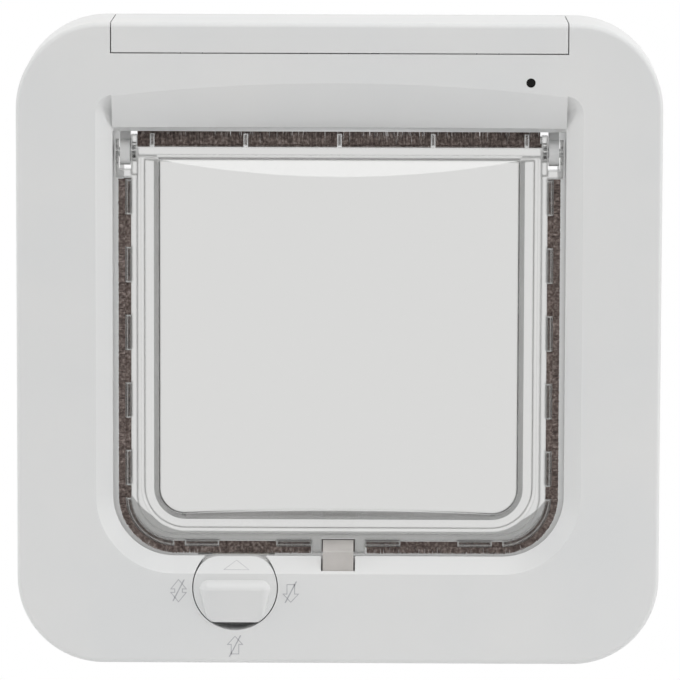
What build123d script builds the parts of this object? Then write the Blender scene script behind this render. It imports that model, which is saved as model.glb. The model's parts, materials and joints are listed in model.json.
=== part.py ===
from build123d import *
import math
import os

os.makedirs("parts", exist_ok=True)

# Sizes in millimetres and degrees. X is to the right seen from the room, the room is at -Y,
# outdoors at +Y, and y = 0 is the door's inner face.

# Interior unit, as deep as two cells side by side in their tray
UNIT_SIZE = 210.0
UNIT_CORNER = 29.0
UNIT_DRAFT = 2.0
UNIT_EDGE = 1.6
WALL = 2.5
BACK_PLATE = 3.0
CELL_RADIUS = 7.25
CELL_LENGTH = 50.5
CELL_GAP = 0.1
TRAY_WALL = 1.2
TRAY_LIP = 0.9
TRAY_GAP = 0.1
UNIT_HALF = UNIT_SIZE / 2
UNIT_DEPTH = WALL + TRAY_GAP + TRAY_LIP + 4 * CELL_RADIUS + 5 * CELL_GAP + BACK_PLATE
FRONT = -UNIT_DEPTH
FAR = 2 * UNIT_SIZE

# Cells, their tray and the cover over them
COVER_TALL = 10.8
COVER_GAP = 0.35
COVER_WALL = 2.1
COVER_MARGIN = 6.5
TONGUE_WIDTH = 6.8
TONGUE_THICK = 0.8
TONGUE_DROP = 3.0
CELL_TOP_GAP = 1.05
CELL_LOW_GAP = 0.15
CELL_TIP = 2.7
BAY_MID = 2.6
LEAF_ROOM = 4.5
CONTACT = 0.4
CONTACT_HALF = 6.0
COVER_LOW = UNIT_HALF - COVER_TALL
TRAY_FRONT = FRONT + WALL + TRAY_GAP
CELL_FRONT_Y = TRAY_FRONT + TRAY_LIP + CELL_GAP + CELL_RADIUS
CELL_BACK_Y = CELL_FRONT_Y + 2 * CELL_RADIUS + CELL_GAP
CELL_Z = UNIT_HALF - WALL - CELL_TOP_GAP - CELL_RADIUS
TRAY_FLOOR = CELL_Z - CELL_RADIUS - CELL_LOW_GAP - TRAY_WALL
TRAY_TOP = CELL_Z + 0.91 * CELL_RADIUS
BAY_END = BAY_MID + CONTACT + CELL_LENGTH + LEAF_ROOM
TRAY_END = BAY_END + TRAY_WALL

# Indicator and learn button, beside the tray
LED_RADIUS = 1.5
LED_FLANGE = 0.5
LED_DROP = 0.8
BUTTON_RADIUS = 3.0
BUTTON_FLANGE = 1.2
BUTTON_SIDE = 7.4
BUTTON_RISE = 2.4
BUTTON_REST = 1.0
SHELF_RISE = 2.0
SHELF_TALL = 8.0
SHELF_HALF = 8.0
SWITCH_TALL = 3.4
LED_X = TRAY_END + LED_RADIUS + LED_FLANGE + CELL_GAP
LED_Z = TRAY_FLOOR - LED_DROP
BUTTON_X = TRAY_END + BUTTON_SIDE
BUTTON_Y = FRONT / 2
COVER_HALF = BUTTON_X + COVER_MARGIN
TONGUE_X = 0.65 * COVER_HALF
SHELF_LOW = TRAY_FLOOR + SHELF_RISE
SHELF_TOP = SHELF_LOW + SHELF_TALL
SWITCH_TOP = SHELF_LOW + TRAY_WALL + SWITCH_TALL

# Opening, bezel slope and hood
SIDE_BAND = 31.95
TOP_BAND = 35.1
LOW_BAND = 35.8
FLOOR_STEP = 1.3
OPEN_CORNER = 20.0
CEILING_CORNER = 2.0
BEZEL_WIDTH = 5.2
BEZEL_DEPTH = 5.0
BEZEL_RISE = 5.6
BEZEL_CORNER = 0.8
BEZEL_WALL = 3.4
HOOD_MARGIN = 1.1
HOOD_DEPTH = 7.9
HOOD_ARCH = 618.0
HOOD_BULGE = 1.0
HOOD_LIP = 1.5
LIP_SETBACK = 1.2
LIP_THICK = 1.0
OPEN_HALF = UNIT_HALF - SIDE_BAND
OPEN_FLOOR = LOW_BAND - UNIT_HALF
TUNNEL_FLOOR = OPEN_FLOOR - FLOOR_STEP
OPEN_TOP = UNIT_HALF - TOP_BAND
HOOD_TOP = TRAY_FLOOR - HOOD_MARGIN
HOOD_RISE = HOOD_TOP - OPEN_TOP

# Flap
FLAP_BACKSET = 10.5
RIM_DEPTH = 5.0
FLAP_SIDE_GAP = 0.95
FLAP_LOW_GAP = 0.5
FLAP_PLATE = 2.0
TAB_REACH = 2.8
TAB_THICK = 1.2
TAB_SLOPE = 30.0
TAB_COUNT = 5
WEB_OUT = 4.8
WEB_WALL = 1.9
BUMP_INSET = 8.0
BUMP_WALL = 1.9
BUMP_RISE = 6.4
BUMP_ANGLE = 52.0
BUMP_CORNER = 14.6
HOLLOW_INSET = 1.9
HOLLOW_STEP = 1.4
HOLLOW_CREASE = 0.9
HOLLOW_ANGLE = 40.0
BUMP_BOW = 950.0
SLOPE_RISE = 4.1
SLOPE_RATIO = 2.95
RIM_FRONT = FRONT + FLAP_BACKSET
RIM_BACK = RIM_FRONT + RIM_DEPTH
FLAP_HALF = OPEN_HALF - FLAP_SIDE_GAP
FLAP_FLOOR = TUNNEL_FLOOR + FLAP_LOW_GAP
FLAP_CORNER = 0.97 * OPEN_CORNER
WEB_IN = WEB_OUT + WEB_WALL
BUMP_FRONT = RIM_FRONT - BUMP_RISE
SLOPE_Y = RIM_FRONT - SLOPE_RISE

# Hinge, with an ear on each side of every lug
HINGE_DROP = 8.5
EAR_RADIUS = 4.2
EAR_GAP = 0.3
EAR_WIDE = 1.2
INNER_EAR = 2.0
LUG_WIDE = 3.3
LUG_WEB = 3.4
LUG_WEB_FRONT = 0.5
PIN_RADIUS = 1.5
PIN_GAP = 0.05
PIN_PRESS = 0.01
BUMP_DROP = 0.4
BAR_DROP = 1.2
BAR_TALL = 3.3
CLAW_WIDE = 1.5
CLAW_FOOT = 2.5
CLAW_HEAD = 0.8
CLAW_TALL = 4.1
PILE_DROP = 8.4
TOP_PILE_GAP = 1.6
HINGE_Y = RIM_FRONT + 0.6 * RIM_DEPTH
HINGE_Z = OPEN_TOP - HINGE_DROP
EAR_OUT = FLAP_HALF + EAR_GAP
LUG_OUT = EAR_OUT - EAR_WIDE - EAR_GAP
LUG_IN = LUG_OUT - LUG_WIDE
BAR_HALF = LUG_IN - EAR_GAP - INNER_EAR
BAR_LOW = HINGE_Z - BAR_DROP
BAR_HIGH = BAR_LOW + BAR_TALL
CLAW_PITCH = 0.4625 * BAR_HALF
BUMP_TOP = HINGE_Z - BUMP_DROP
PILE_TOP = HINGE_Z - PILE_DROP
TOP_PILE_HIGH = OPEN_TOP - TOP_PILE_GAP
TAB_TOP = PILE_TOP - 0.2
TAB_PITCH = (TAB_TOP - FLAP_FLOOR - FLAP_CORNER) / (TAB_COUNT - 0.32)
TAB_LENGTH = 0.52 * TAB_PITCH

# Manual lock
KNOB_X = -33.3
KNOB_DROP = 9.8
KNOB_RADIUS = 13.55
KNOB_GAP = 0.35
KNOB_SEAT = 0.3
KNOB_FLAT_DOWN = 11.2
KNOB_SETBACK = 0.8
CUP_WALL = 2.0
KNOB_SHOULDER = 8.0
GRIP_RISE = 3.2
GRIP_ROUND = 3.0
GRIP_HALF = 11.6
GRIP_DROP = 0.5
GRIP_FOOT = 0.3
SPINDLE_RADIUS = 4.0
SPINDLE_GAP = 0.05
SPINDLE_FLAT = 2.9
CAM_RADIUS = 13.2
CAM_GAP = 1.0
CAM_THICK = 4.5
CAM_SCREW = 1.2
KNOB_Z = OPEN_FLOOR - KNOB_DROP
GRIP_FLAT = GRIP_HALF - GRIP_ROUND
GRIP_Y = FRONT - GRIP_RISE + GRIP_ROUND
GRIP_Z = KNOB_Z - GRIP_DROP
KNOB_FLAT_UP = KNOB_DROP - 0.2
KNOB_BACK = RIM_FRONT - KNOB_SETBACK
CAM_FLAT = KNOB_DROP - FLOOR_STEP - 0.5
CAM_FRONT = RIM_BACK + CAM_GAP
CAM_BACK = CAM_FRONT + CAM_THICK

# Latch and its drive
LATCH_HALF = 4.95
LATCH_GAP = 0.55
LATCH_SETBACK = 1.1
LATCH_SKIN_GAP = 0.25
LATCH_SEAT = 0.3
LATCH_REAR_GAP = 1.2
STEM_STEP = 2.0
LATCH_RISE = 4.8
LATCH_BREAK_RISE = 2.1
LATCH_HEAD_DROP = 6.8
LATCH_DROP = 6.0
LATCH_EDGE = 0.4
GEAR_TEETH = 12
GEAR_MODULE = 0.8
GEAR_BACKLASH = 0.24
GEAR_DROP = 19.8
GEAR_WIDTH = 5.0
GEAR_BORE = 1.52
GEAR_HUB = 2.8
RACK_X = 4.0
RACK_ADDENDUM = 0.55
RACK_TALL = 10.3
STEM_TAIL = 5.0
GEARBOX_GAP = 1.4
GEARBOX_DEEP = 10.5
GEARBOX_HALF = 6.0
MOTOR_RADIUS = 5.0
MOTOR_LONG = 17.0
LATCH_FRONT = FRONT + LATCH_SETBACK
STEM_FRONT = LATCH_FRONT + STEM_STEP
LATCH_BACK = RIM_FRONT - LATCH_REAR_GAP
LATCH_TOP = OPEN_FLOOR + LATCH_RISE
LATCH_BREAK = OPEN_FLOOR + LATCH_BREAK_RISE
LATCH_HEAD_LOW = OPEN_FLOOR - LATCH_HEAD_DROP
GEAR_RADIUS = GEAR_TEETH * GEAR_MODULE / 2
GEAR_X = RACK_X + GEAR_RADIUS
GEAR_Z = OPEN_FLOOR - GEAR_DROP
GEAR_FRONT = STEM_FRONT - 0.1
RACK_ROOT = 1.3 * GEAR_MODULE
LATCH_LOW = GEAR_Z - STEM_TAIL
GEARBOX_FRONT = LATCH_BACK + GEARBOX_GAP
GEARBOX_BACK = GEARBOX_FRONT + GEARBOX_DEEP

# Magnets
NOTCH_SIDE = 3.85
MAGNET_HALF = 5.35
MAGNET_TALL = 4.0
MAGNET_DEEP = 3.1
MAGNET_LIFT = 1.4
POLE_HALF = 4.95
POLE_TALL = 3.0
POLE_DEEP = 4.8
POLE_RIB = 1.4
NOTCH_HALF = LATCH_HALF + NOTCH_SIDE
POLE_FRONT = HINGE_Y + 0.1

# Tunnel, door and exterior frame
DOOR = 40.0
OUTER_DEPTH = 12.0
OUTER_INSET = 5.0
OUTER_EDGE = 2.5
SPLIT_MARGIN = 3.0
SPLIT_GAP = 0.2
SLEEVE_GAP = 0.5
SLEEVE_WALL = 2.2
SLEEVE_LAP = 26.0
OUTER_END = DOOR + OUTER_DEPTH
OUTER_SIZE = UNIT_SIZE - 2 * OUTER_INSET
OUTER_CORNER = UNIT_CORNER - 3.0
TUNNEL_SPLIT = CAM_BACK + SPLIT_MARGIN
TUNNEL_END = DOOR + OUTER_DEPTH / 2
SLEEVE_START = DOOR - SLEEVE_LAP

# Screws
MOUNT_SIDE = 12.95
MOUNT_INSET = 21.0
MOUNT_RADIUS = 2.4
MOUNT_HEAD = 4.6
MOUNT_HEAD_TALL = 3.0
MOUNT_BOSS = 7.4
MOUNT_WELL = 5.6
MOUNT_WELL_DEEP = 5.5
MOUNT_GRIP = 12.0
NUT_BOSS = 5.5
NUT_BOSS_LONG = 15.0
CAP_TALL = 1.6
HOUSING_RADIUS = 1.2
HOUSING_HEAD = 2.7
HOUSING_HEAD_TALL = 1.5
HOUSING_SINK = 1.9
HOUSING_LONG = 18.0
HOUSING_POST = 3.6
HOUSING_SIDE = 9.5
HOUSING_INSET = 41.0
LOW_SCREW_SIDE = 45.0
LOW_SCREW_INSET = 10.0
MOUNT_X = OPEN_HALF + MOUNT_SIDE
MOUNT_Z = UNIT_HALF - MOUNT_INSET
HOUSING_SCREWS = [
    (UNIT_HALF - HOUSING_SIDE, UNIT_HALF - HOUSING_INSET),
    (UNIT_HALF - HOUSING_SIDE, HOUSING_INSET - UNIT_HALF),
    (UNIT_HALF - LOW_SCREW_SIDE, LOW_SCREW_INSET - UNIT_HALF),
]

# Reader coil and control board
COIL_WIDE = 3.2
COIL_GAP = 0.1
COIL_MARGIN = 1.8
BOARD_GAP = 1.75
BOARD_MARGIN = 5.5
BOARD_THICK = 1.6
BOARD_STAND = 4.4
BOARD_INSET = 50.0
POST_RADIUS = 2.2
POST_INSET = 3.0
CHIP_SIDE = 11.0
CHIP_TALL = 1.6
RADIO_WIDE = 9.0
RADIO_LONG = 8.0
PLUG_WIDE = 12.0
PLUG_LONG = 5.0
PLUG_TALL = 5.5
CAN_RADIUS = 3.2
CAN_TALL = 7.0
BOARD_IN = OPEN_HALF + WALL + COIL_WIDE + BOARD_GAP
BOARD_OUT = UNIT_HALF - BOARD_MARGIN
BOARD_X = (BOARD_IN + BOARD_OUT) / 2
BOARD_HALF = UNIT_HALF - BOARD_INSET
BOARD_BACK = -BACK_PLATE - BOARD_STAND
BOARD_FRONT = BOARD_BACK - BOARD_THICK


def box(x0, x1, y0, y1, z0, z1):
    """A block between two corners."""
    return Pos((x0 + x1) / 2, (y0 + y1) / 2, (z0 + z1) / 2) * Box(x1 - x0, y1 - y0, z1 - z0)


def rod_x(y, z, r, x0, x1):
    """A round bar along X."""
    return Pos((x0 + x1) / 2, y, z) * Rot(0, 90, 0) * Cylinder(r, x1 - x0)


def rod_y(x, z, r, y0, y1):
    """A round bar along Y."""
    return Pos(x, (y0 + y1) / 2, z) * Rot(90, 0, 0) * Cylinder(r, y1 - y0)


def rod_z(x, y, r, z0, z1):
    """A round bar along Z."""
    return Pos(x, y, (z0 + z1) / 2) * Cylinder(r, z1 - z0)


def both_sides(shape):
    """The shape and its mirror image on the other side of the middle."""
    return shape + mirror(shape, about=Plane.YZ)


def outline(half, floor, top, low_corner, top_corner=0.0):
    """An upright outline drawn in X and Z with its lower and upper corners rounded."""
    face = Pos(0, (floor + top) / 2) * Rectangle(2 * half, top - floor)
    rows = face.vertices().group_by(Axis.Y)
    face = fillet(rows[0], low_corner)
    if top_corner:
        face = fillet(face.vertices().group_by(Axis.Y)[-1], top_corner)
    return face


def prism(face, back, front, taper=0.0):
    """The outline drawn out from y = back to y = front, towards the room."""
    plane = Plane((0, back, 0), x_dir=(1, 0, 0), z_dir=(0, -1, 0))
    return extrude(plane * face, amount=back - front, taper=taper)


def side_prism(points, x0, x1):
    """A solid with a side profile in Y and Z, from x0 to x1."""
    plane = Plane((x0, 0, 0), x_dir=(0, 1, 0), z_dir=(1, 0, 0))
    return extrude(plane * make_face(Polyline(*points, close=True)), amount=x1 - x0)


def square_outline(size, corner):
    return RectangleRounded(size, size, corner)


def unit_block():
    """The interior unit's full outside, with drafted sides and a rounded front edge."""
    block = prism(square_outline(UNIT_SIZE, UNIT_CORNER), 0, FRONT, UNIT_DRAFT)
    front_face = block.faces().sort_by(Axis.Y)[0]
    return fillet(front_face.edges(), UNIT_EDGE)


def opening(grow, back, front):
    """The cat's way through, widened all round by grow."""
    corner = OPEN_CORNER + grow
    face = outline(OPEN_HALF + grow, TUNNEL_FLOOR - grow, OPEN_TOP + grow, corner, CEILING_CORNER + grow)
    return prism(face, back, front)


def bezel_cone(grow, back):
    """The sloped ring round the opening, running up beside the hood."""
    angle = math.degrees(math.atan2(BEZEL_WIDTH, BEZEL_DEPTH))
    top = OPEN_TOP + BEZEL_RISE + grow
    face = outline(OPEN_HALF + grow, OPEN_FLOOR - grow, top, OPEN_CORNER + grow, BEZEL_CORNER + grow)
    return prism(face, back, back - 3 * BEZEL_DEPTH, -angle)


def hood_scoop():
    """What is cut away under the hood: an arched surface that curves down to the opening."""
    start = (FRONT, HOOD_TOP)
    end = (FRONT + HOOD_DEPTH, OPEN_TOP)
    length = math.hypot(HOOD_DEPTH, HOOD_RISE)
    across = (-HOOD_RISE / length, -HOOD_DEPTH / length)
    mid = (
        (start[0] + end[0]) / 2 + HOOD_BULGE * across[0],
        (start[1] + end[1]) / 2 + HOOD_BULGE * across[1],
    )
    below = (end[0] + 2.0, end[1] - 12.0)
    curve = ThreePointArc(start, mid, end)
    rest = Polyline(end, below, (FRONT - 6, below[1]), (FRONT - 6, start[1]), start)
    face = Plane.YZ * make_face([curve, rest])
    axis = Axis((0, 0, HOOD_TOP - HOOD_ARCH), (0, 1, 0))
    half = revolve(face, axis, 9) + revolve(face, axis, -9)
    return half & box(-OPEN_HALF, OPEN_HALF, FRONT - 5, 0, OPEN_TOP - 8, FAR)


def frame_cavity():
    """The hollow inside the front shell, before its inner walls are left standing in it."""
    face = square_outline(UNIT_SIZE - 2 * WALL, UNIT_CORNER - WALL)
    return prism(face, 0, FRONT + WALL, UNIT_DRAFT)


def hood_backing():
    """Material left behind the hood so that it keeps its wall."""
    points = [
        (FRONT, HOOD_TOP + 0.5),
        (FRONT + WALL + 0.2, HOOD_TOP + 0.5),
        (FRONT + HOOD_DEPTH * 0.75, OPEN_TOP + HOOD_RISE * 0.65),
        (FRONT + HOOD_DEPTH + WALL, OPEN_TOP + WALL),
        (FRONT + HOOD_DEPTH + WALL, OPEN_TOP),
        (FRONT, OPEN_TOP),
    ]
    return side_prism(points, -OPEN_HALF - WALL, OPEN_HALF + WALL)


def knob_cup():
    """The cup round the knob with the spindle's bearing behind it."""
    bottom = KNOB_BACK + KNOB_SEAT
    radius = KNOB_RADIUS + KNOB_GAP + CUP_WALL
    cup = rod_y(KNOB_X, KNOB_Z, radius, FRONT + 1, bottom + 2 * CUP_WALL)
    return cup + rod_y(KNOB_X, KNOB_Z, SPINDLE_RADIUS + 3, bottom, CAM_FRONT - 0.3)


def latch_guide():
    """The square tube under the floor that guides the latch."""
    half = LATCH_HALF + LATCH_GAP + 2
    low = GEAR_Z + RACK_TALL + 0.2
    return box(-half, half, FRONT + 1, LATCH_BACK + LATCH_SEAT + 2, low, OPEN_FLOOR)


def screw_posts():
    """Posts for the housing screws."""
    posts = [rod_y(x, z, HOUSING_POST, FRONT + 1, -BACK_PLATE) for x, z in HOUSING_SCREWS]
    return both_sides(Part() + posts)


def hinge_lugs():
    """White lugs that carry the hinge pins, hanging from the top of the opening."""
    lug = rod_x(HINGE_Y, HINGE_Z, EAR_RADIUS, LUG_IN, LUG_OUT)
    web = box(LUG_IN, LUG_OUT, HINGE_Y - LUG_WEB_FRONT, HINGE_Y + LUG_WEB, HINGE_Z, OPEN_TOP + 1)
    bore = rod_x(HINGE_Y, HINGE_Z, PIN_RADIUS + PIN_GAP, LUG_IN - 1, LUG_OUT + 1)
    return both_sides(lug + web - bore)


def hood_lip():
    """The narrow lip set back under the hood's lower edge, close over the top pile."""
    front = FRONT + HOOD_DEPTH + LIP_SETBACK
    half = OPEN_HALF + WALL / 2
    return box(-half, half, front, front + LIP_THICK, OPEN_TOP - HOOD_LIP, OPEN_TOP + WALL / 2)


def magnet_holder():
    """Two ribs under the floor that grip the frame's magnet."""
    start = POLE_HALF + 0.05
    low = TUNNEL_FLOOR - WALL - POLE_TALL - 0.2
    rib = box(start, start + POLE_RIB, HINGE_Y, POLE_FRONT + POLE_DEEP + 0.1, low, TUNNEL_FLOOR - 0.5)
    return both_sides(rib)


def cam_slot():
    """The slot in the floor that the cam turns up through."""
    reach = math.sqrt(CAM_RADIUS**2 - (KNOB_DROP - FLOOR_STEP - WALL) ** 2) + 0.8
    y0, y1 = CAM_FRONT - 0.5, CAM_BACK + 0.5
    return box(KNOB_X - reach, KNOB_X + reach, y0, y1, KNOB_Z - 1, OPEN_FLOOR + 9)


def frame_cuts():
    """Everything cut through the front shell from outside."""
    slot = LATCH_HALF + LATCH_GAP
    cover = COVER_HALF + COVER_GAP
    pocket_low = LATCH_HEAD_LOW - LATCH_DROP - 0.6
    head_front = LATCH_FRONT - LATCH_SKIN_GAP
    latch_end = LATCH_BACK + LATCH_SEAT
    side_slopes = bezel_cone(0, FRONT + BEZEL_DEPTH)
    side_slopes -= box(-OPEN_HALF, OPEN_HALF, -FAR, FAR, OPEN_TOP, FAR)
    cuts = [
        side_slopes,
        opening(0, 5, FRONT + BEZEL_DEPTH),
        hood_scoop(),
        rod_y(KNOB_X, KNOB_Z, KNOB_RADIUS + KNOB_GAP, FRONT - 5, KNOB_BACK + KNOB_SEAT),
        rod_y(KNOB_X, KNOB_Z, SPINDLE_RADIUS + SPINDLE_GAP, FRONT, CAM_BACK + 5),
        box(-slot, slot, head_front, latch_end, pocket_low, OPEN_FLOOR + 5),
        box(-slot, slot, STEM_FRONT - 0.4, latch_end, GEAR_Z, pocket_low + 1),
        cam_slot(),
        box(-cover, cover, FRONT - 5, 5, COVER_LOW - COVER_GAP, FAR),
        rod_y(LED_X, LED_Z, LED_RADIUS, FRONT - 1, FRONT + 6),
        box(-FAR, FAR, -BACK_PLATE, 10, -FAR, FAR),
    ]
    for x, z in HOUSING_SCREWS:
        cuts.append(both_sides(rod_y(x, z, HOUSING_RADIUS + 0.1, -HOUSING_LONG - 6, 5)))
    return cuts


def front_frame():
    kept = opening(WALL, TUNNEL_SPLIT, FRONT) + bezel_cone(BEZEL_WALL, FRONT + BEZEL_DEPTH + 1.6)
    kept += hood_backing() + knob_cup() + latch_guide() + screw_posts() + magnet_holder()
    shell = unit_block() - (frame_cavity() - kept)
    for cut in frame_cuts():
        shell -= cut
    return shell + hinge_lugs() + hood_lip()


def rear_housing():
    plate = unit_block() & box(-FAR, FAR, -BACK_PLATE, 0, -FAR, FAR)
    body = plate + opening(WALL, TUNNEL_END, TUNNEL_SPLIT + SPLIT_GAP)
    for x, z in mount_places():
        body += rod_y(x, z, NUT_BOSS, -NUT_BOSS_LONG, -1)
        body -= rod_y(x, z, MOUNT_RADIUS + 0.15, -MOUNT_GRIP - 1.5, 1)
    for x, z in board_posts():
        body += rod_y(x, z, POST_RADIUS, BOARD_BACK, -1)
    body += box(GEAR_X - 3, GEAR_X + 3, GEARBOX_BACK, -1, GEAR_Z - 4, GEAR_Z + 4)
    body -= opening(0, TUNNEL_END + 1, TUNNEL_SPLIT - 1)
    for x, z in HOUSING_SCREWS:
        body -= both_sides(rod_y(x, z, HOUSING_RADIUS + 0.4, -10, 1))
        body -= both_sides(rod_y(x, z, HOUSING_HEAD + 0.3, -HOUSING_SINK, 1))
    return body


def exterior_frame():
    block = prism(square_outline(OUTER_SIZE, OUTER_CORNER), OUTER_END, DOOR)
    block = fillet(block.faces().sort_by(Axis.Y)[-1].edges(), OUTER_EDGE)
    inside = square_outline(OUTER_SIZE - 2 * WALL, OUTER_CORNER - WALL)
    grow = WALL + SLEEVE_GAP
    body = block - prism(inside, OUTER_END - WALL, DOOR - 1)
    body += opening(grow + SLEEVE_WALL, OUTER_END - 1, SLEEVE_START)
    for x, z in mount_places():
        body += rod_y(x, z, MOUNT_BOSS, DOOR, OUTER_END - 1)
    body -= opening(grow, OUTER_END + 1, SLEEVE_START - 1)
    for x, z in mount_places():
        body -= rod_y(x, z, MOUNT_RADIUS + 0.5, DOOR - 1, OUTER_END + 1)
        body -= rod_y(x, z, MOUNT_WELL, OUTER_END - MOUNT_WELL_DEEP, OUTER_END + 1)
    return body


def mount_places():
    return [(x, z) for x in (-MOUNT_X, MOUNT_X) for z in (-MOUNT_Z, MOUNT_Z)]


def mounting_screws():
    seat = OUTER_END - MOUNT_WELL_DEEP
    top = seat + MOUNT_HEAD_TALL
    screws = []
    for x, z in mount_places():
        screw = rod_y(x, z, MOUNT_RADIUS, -MOUNT_GRIP, seat) + rod_y(x, z, MOUNT_HEAD, seat, top)
        screw -= box(x - 3, x + 3, top - 1.4, top + 1, z - 0.5, z + 0.5)
        screw -= box(x - 0.5, x + 0.5, top - 1.4, top + 1, z - 3, z + 3)
        screws.append(screw)
    return Compound(children=screws)


def screw_caps():
    radius = MOUNT_WELL - 0.15
    caps = [rod_y(x, z, radius, OUTER_END - CAP_TALL, OUTER_END) for x, z in mount_places()]
    return Compound(children=caps)


def housing_screws():
    seat = -HOUSING_SINK
    top = seat + HOUSING_HEAD_TALL
    screws = []
    for side in (-1, 1):
        for x, z in HOUSING_SCREWS:
            shank = rod_y(side * x, z, HOUSING_RADIUS, -HOUSING_LONG, seat)
            screw = shank + rod_y(side * x, z, HOUSING_HEAD, seat, top)
            screws.append(screw - box(side * x - 2, side * x + 2, top - 0.5, 1, z - 0.4, z + 0.4))
    return Compound(children=screws)


def antenna_coil():
    back = -BACK_PLATE - COIL_MARGIN
    return opening(WALL + COIL_WIDE, back, TUNNEL_SPLIT + 1) - opening(WALL + COIL_GAP, 0, FRONT)


def board_posts():
    sides = (BOARD_IN + POST_INSET, BOARD_OUT - POST_INSET)
    ends = (5 - BOARD_HALF, BOARD_HALF - 5)
    return [(x, z) for x in sides for z in ends]


def control_board():
    board = box(BOARD_IN, BOARD_OUT, BOARD_FRONT, BOARD_BACK, -BOARD_HALF, BOARD_HALF)
    for x, z in board_posts():
        board -= rod_y(x, z, POST_RADIUS - 1, BOARD_FRONT - 1, BOARD_BACK + 1)
    return board


def board_part(wide, long, tall, low):
    """A block soldered on the board, with its lower end at z = low."""
    return box(BOARD_X - wide / 2, BOARD_X + wide / 2, BOARD_FRONT - tall, BOARD_FRONT, low, low + long)


def board_components():
    chip = board_part(CHIP_SIDE, CHIP_SIDE, CHIP_TALL, -0.1 * BOARD_HALF)
    radio = board_part(RADIO_WIDE, RADIO_LONG, CHIP_TALL, 0.36 * BOARD_HALF)
    plug = board_part(PLUG_WIDE, PLUG_LONG, PLUG_TALL, -0.69 * BOARD_HALF)
    can = rod_y(BOARD_X, 0.69 * BOARD_HALF, CAN_RADIUS, BOARD_FRONT - CAN_TALL, BOARD_FRONT)
    return Compound(children=[chip, radio, plug, can])


def status_led():
    lens = rod_y(LED_X, LED_Z, LED_RADIUS - 0.05, FRONT + 0.25, FRONT + 6.5)
    return lens + rod_y(LED_X, LED_Z, LED_RADIUS + LED_FLANGE, FRONT + 6, FRONT + 8)


def button_shelf():
    """The small case beside the tray that holds the learn button and its switch."""
    x0, x1 = TRAY_END - 0.5, BUTTON_X + BUTTON_RADIUS * 2
    y0, y1 = BUTTON_Y - SHELF_HALF, BUTTON_Y + SHELF_HALF
    low_wall = box(x0, x1, y0, y1, SHELF_LOW, SHELF_LOW + TRAY_WALL)
    top_wall = box(x0, x1, y0, y1, SHELF_TOP - TRAY_WALL, SHELF_TOP)
    end_wall = box(x1 - TRAY_WALL, x1, y0, y1, SHELF_LOW, SHELF_TOP)
    hole = rod_z(BUTTON_X, BUTTON_Y, BUTTON_RADIUS + 0.3, SHELF_TOP - 2 * TRAY_WALL, SHELF_TOP + 1)
    return low_wall + top_wall + end_wall - hole


def battery_tray():
    body = box(-TRAY_END, TRAY_END, TRAY_FRONT, -BACK_PLATE, TRAY_FLOOR, TRAY_TOP)
    for side in (-1, 1):
        x0, x1 = sorted((side * BAY_MID, side * BAY_END))
        body -= box(x0, x1, TRAY_FRONT + TRAY_LIP, 0, TRAY_FLOOR + TRAY_WALL, FAR)
    half = TONGUE_WIDTH / 2 + 0.3
    for x, wide in ((-TONGUE_X, half), (0, 12.8), (TONGUE_X, half)):
        low = COVER_LOW - TONGUE_DROP - 1
        body -= box(x - wide, x + wide, TRAY_FRONT - 1, TRAY_FRONT + TRAY_LIP, low, FAR)
    return body + button_shelf()


def cell(y, side):
    """One AA cell with its raised end towards the middle of the tray."""
    start = BAY_MID + CONTACT
    can = rod_x(y, CELL_Z, CELL_RADIUS, start + 1.3, start + CELL_LENGTH)
    body = can + rod_x(y, CELL_Z, CELL_TIP, start, start + 2)
    return body if side > 0 else mirror(body, about=Plane.YZ)


def battery_cells():
    return Compound(children=[cell(y, s) for y in (CELL_FRONT_Y, CELL_BACK_Y) for s in (-1, 1)])


def contact_set(y):
    """The flat contact at a cell's tip and the bent leaf at its other end."""
    low, high = CELL_Z - CONTACT_HALF, CELL_Z + CONTACT_HALF
    flat = box(BAY_MID, BAY_MID + CONTACT, y - 4, y + 4, low, high)
    start = BAY_MID + CONTACT + CELL_LENGTH
    foot = BAY_END - CONTACT
    points = [
        (BAY_END, low),
        (BAY_END, high),
        (foot, high),
        (start + 0.4, CELL_Z + 1),
        (start, CELL_Z),
        (start + 0.4, CELL_Z - 1),
        (foot, low + 1),
        (foot, low),
    ]
    inner = [
        (foot, low + 1.6),
        (foot, high - 0.6),
        (start + 0.9, CELL_Z + 0.8),
        (start + 0.5, CELL_Z),
        (start + 0.9, CELL_Z - 0.8),
    ]
    leaf = make_face(Polyline(*points, close=True)) - make_face(Polyline(*inner, close=True))
    return [flat, prism(leaf, y + 3, y - 3)]


def battery_contacts():
    pieces = contact_set(CELL_FRONT_Y) + contact_set(CELL_BACK_Y)
    return Compound(children=pieces + [mirror(p, about=Plane.YZ) for p in pieces])


def latch_gearmotor():
    x0, x1 = GEAR_X - 5, GEAR_X + 7
    y0, y1 = GEARBOX_FRONT, GEARBOX_BACK
    gearbox = box(x0, x1, y0, y1, GEAR_Z - GEARBOX_HALF, GEAR_Z + GEARBOX_HALF)
    motor = rod_x((y0 + y1) / 2, GEAR_Z, MOTOR_RADIUS, x1, x1 + MOTOR_LONG)
    shaft = rod_y(GEAR_X, GEAR_Z, GEAR_BORE - 0.02, GEAR_FRONT - 0.2, y0 + 0.5)
    return gearbox + motor + shaft


def frame_magnet():
    top = TUNNEL_FLOOR - WALL
    return box(-POLE_HALF, POLE_HALF, POLE_FRONT, POLE_FRONT + POLE_DEEP, top - POLE_TALL, top)


def learn_switch():
    low = SHELF_LOW + TRAY_WALL
    return box(BUTTON_X - 3, BUTTON_X + 3, BUTTON_Y - 3, BUTTON_Y + 3, low, SWITCH_TOP)


def flap_outline(inset, top):
    return outline(FLAP_HALF - inset, FLAP_FLOOR + inset, top, FLAP_CORNER - inset)


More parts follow.
